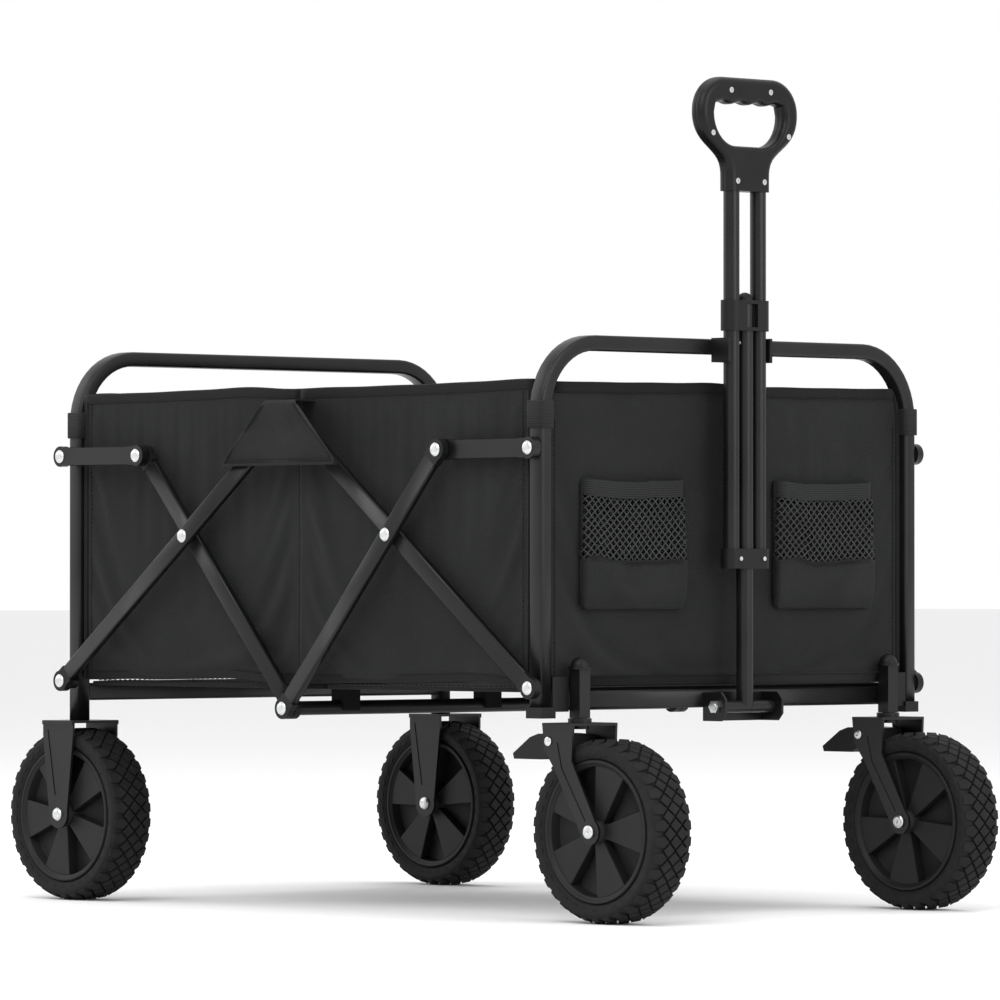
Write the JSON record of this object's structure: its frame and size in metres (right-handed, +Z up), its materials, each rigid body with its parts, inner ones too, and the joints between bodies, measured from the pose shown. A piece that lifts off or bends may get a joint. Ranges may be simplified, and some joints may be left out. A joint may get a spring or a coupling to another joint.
{
  "type": "folding camp wagon",
  "caption": "Collapsible camp wagon: tubular end frames, scissor side links, fabric basket with front pockets, block-tread wheels and a telescopic pull handle.",
  "frame": {"origin": "on the ground under the middle of the opened wagon's bounding box", "axes": "+X forward, towards the handle and the swivel wheels; +Y to the wagon's left; +Z up"},
  "size_m": [1.041, 0.656, 0.93],
  "materials": {
    "frame_paint": "satin black powder coat",
    "handle_paint": "smooth semi-gloss black paint",
    "black_plastic": "moulded black plastic, fine grain",
    "grip_plastic": "soft-touch moulded black plastic",
    "zinc_steel": "bright zinc plated steel",
    "oxford_fabric": "coated black oxford cloth with woven webbing trim",
    "pocket_fabric": "black mesh and oxford cloth",
    "floor_fabric": "oxford cloth over stiff boards",
    "rim_plastic": "moulded black nylon, satin",
    "tyre_rubber": "matt black rubber with block tread"
  },
  "bodies": {
    "rear_frame": {"rear_u_frame": "frame_paint", "rear_lower_rail": "frame_paint", "rear_wheel_forks": "frame_paint", "rear_axle_bolts": "zinc_steel", "rear_rivets": "zinc_steel", "rear_spacers": "black_plastic", "rear_wall": "oxford_fabric", "side_panels_rear": "oxford_fabric"},
    "front_frame": {"front_u_frame": "frame_paint", "front_lower_rail": "frame_paint", "rail_sockets": "black_plastic", "foot_caps": "black_plastic", "front_rivets": "zinc_steel", "front_spacers": "black_plastic", "caster_posts": "frame_paint", "caster_post_caps": "black_plastic", "handle_bracket": "frame_paint", "handle_pivot_bolt": "zinc_steel", "handle_clip": "black_plastic", "front_wall": "oxford_fabric", "front_pockets": "pocket_fabric", "side_panels_front": "oxford_fabric"},
    "rear_long_links": {"rear_long_tubes": "frame_paint", "rear_long_caps": "black_plastic", "apex_rivets": "zinc_steel", "apex_covers": "oxford_fabric"},
    "front_long_links": {"front_long_tubes": "frame_paint", "front_long_caps": "black_plastic"},
    "rear_cross_links": {"rear_cross_tubes": "frame_paint", "rear_cross_caps": "black_plastic", "centre_tube": "frame_paint", "floor_slat": "floor_fabric"},
    "front_cross_links": {"front_cross_tubes": "frame_paint", "front_cross_caps": "black_plastic", "cross_rivets": "zinc_steel"},
    "rear_short_links": {"rear_short_links": "frame_paint", "short_rivets": "zinc_steel"},
    "front_short_links": {"front_short_links": "frame_paint"},
    "floor_rear": {"floor_board_rear": "floor_fabric"},
    "floor_front": {"floor_board_front": "floor_fabric"},
    "handle_pole": {"handle_pole": "handle_paint", "pole_collar": "black_plastic"},
    "handle_button": {"lock_button": "zinc_steel"},
    "handle_grip": {"handle_side_tubes": "handle_paint", "sliding_collar": "black_plastic", "grip_front_shell": "grip_plastic", "grip_rear_shell": "grip_plastic", "grip_screws": "zinc_steel"},
    "caster_left": {"caster_fork_left": "frame_paint"},
    "brake_left": {"brake_pedal_left": "black_plastic"},
    "caster_right": {"caster_fork_right": "frame_paint"},
    "brake_right": {"brake_pedal_right": "black_plastic"},
    "wheel_front_left": {"wheel_rim_front_left": "rim_plastic", "tyre_front_left": "tyre_rubber"},
    "wheel_front_right": {"wheel_rim_front_right": "rim_plastic", "tyre_front_right": "tyre_rubber"},
    "wheel_rear_left": {"wheel_rim_rear_left": "rim_plastic", "tyre_rear_left": "tyre_rubber"},
    "wheel_rear_right": {"wheel_rim_rear_right": "rim_plastic", "tyre_rear_right": "tyre_rubber"}
  },
  "joints": [
    {"name": "fold", "type": "hinge", "parent": "rear_frame", "child": "rear_long_links", "pos_m": [-0.4255, 0, 0.255], "axis": [0, -1, 0], "range_deg": [0, 37.83], "deforming": ["side_panels_rear", "side_panels_front", "apex_covers"]},
    {"name": "apex_hinge", "type": "hinge", "parent": "rear_long_links", "child": "front_long_links", "pos_m": [-0.0355, 0, 0.555], "axis": [0, -1, 0], "range_deg": [-76.16, 0]},
    {"name": "front_foot_hinge", "type": "hinge", "parent": "front_long_links", "child": "front_frame", "pos_m": [0.3545, 0, 0.255], "axis": [0, -1, 0], "range_deg": [0, 38.33]},
    {"name": "rear_crossing", "type": "hinge", "parent": "rear_long_links", "child": "rear_cross_links", "pos_m": [-0.20753, 0, 0.42267], "axis": [0, -1, 0], "range_deg": [-67.64, 0]},
    {"name": "front_crossing", "type": "hinge", "parent": "front_long_links", "child": "front_cross_links", "pos_m": [0.13653, 0, 0.42267], "axis": [0, -1, 0], "range_deg": [0, 67.64]},
    {"name": "rear_short_hinge", "type": "hinge", "parent": "rear_frame", "child": "rear_short_links", "pos_m": [-0.4255, 0, 0.516], "axis": [0, -1, 0], "range_deg": [0, 71.79]},
    {"name": "front_short_hinge", "type": "hinge", "parent": "front_frame", "child": "front_short_links", "pos_m": [0.3545, 0, 0.516], "axis": [0, -1, 0], "range_deg": [-71.79, 0]},
    {"name": "rear_board_hinge", "type": "hinge", "parent": "rear_frame", "child": "floor_rear", "pos_m": [-0.4075, 0, 0.25], "axis": [0, -1, 0], "range_deg": [0, 88.5]},
    {"name": "front_board_hinge", "type": "hinge", "parent": "front_frame", "child": "floor_front", "pos_m": [0.3365, 0, 0.25], "axis": [0, -1, 0], "range_deg": [-88.5, 0]},
    {"name": "handle_tilt", "type": "hinge", "parent": "front_frame", "child": "handle_pole", "pos_m": [0.3825, 0, 0.232], "axis": [0, 1, 0], "range_deg": [0, 95]},
    {"name": "handle_slide", "type": "slide", "parent": "handle_pole", "child": "handle_grip", "axis": [0, 0, 1], "range_m": [-0.11, 0.2]},
    {"name": "handle_button_press", "type": "slide", "parent": "handle_pole", "child": "handle_button", "axis": [0, 1, 0], "range_m": [0, 0.003], "stiffness_N_per_m": 300, "springref_m": -0.002},
    {"name": "caster_swivel_left", "type": "hinge", "parent": "front_frame", "child": "caster_left", "pos_m": [0.3705, 0.243, 0.22], "axis": [0, 0, 1], "continuous": true},
    {"name": "brake_press_left", "type": "hinge", "parent": "caster_left", "child": "brake_left", "pos_m": [0.3565, 0.243, 0.197], "axis": [0, -1, 0], "range_deg": [0, 10]},
    {"name": "caster_swivel_right", "type": "hinge", "parent": "front_frame", "child": "caster_right", "pos_m": [0.3705, -0.243, 0.22], "axis": [0, 0, 1], "continuous": true},
    {"name": "brake_press_right", "type": "hinge", "parent": "caster_right", "child": "brake_right", "pos_m": [0.3565, -0.243, 0.197], "axis": [0, -1, 0], "range_deg": [0, 10]},
    {"name": "wheel_spin_front_left", "type": "hinge", "parent": "caster_left", "child": "wheel_front_left", "pos_m": [0.4205, 0.243, 0.1], "axis": [0, 1, 0], "continuous": true},
    {"name": "wheel_spin_front_right", "type": "hinge", "parent": "caster_right", "child": "wheel_front_right", "pos_m": [0.4205, -0.243, 0.1], "axis": [0, 1, 0], "continuous": true},
    {"name": "wheel_spin_rear_left", "type": "hinge", "parent": "rear_frame", "child": "wheel_rear_left", "pos_m": [-0.4205, 0.29, 0.1], "axis": [0, 1, 0], "continuous": true},
    {"name": "wheel_spin_rear_right", "type": "hinge", "parent": "rear_frame", "child": "wheel_rear_right", "pos_m": [-0.4205, -0.29, 0.1], "axis": [0, 1, 0], "continuous": true}
  ],
  "couplings": [
    {"joint": "apex_hinge", "follows": "fold", "ratio": -2},
    {"joint": "front_foot_hinge", "follows": "fold", "ratio": 1},
    {"joint": "rear_crossing", "follows": "fold", "ratio": -1.7748},
    {"joint": "front_crossing", "follows": "fold", "ratio": 1.7748},
    {"joint": "rear_short_hinge", "follows": "fold", "ratio": 1.8845},
    {"joint": "front_short_hinge", "follows": "fold", "ratio": -1.8845},
    {"joint": "rear_board_hinge", "follows": "fold", "ratio": 2.3262},
    {"joint": "front_board_hinge", "follows": "fold", "ratio": -2.3262}
  ]
}
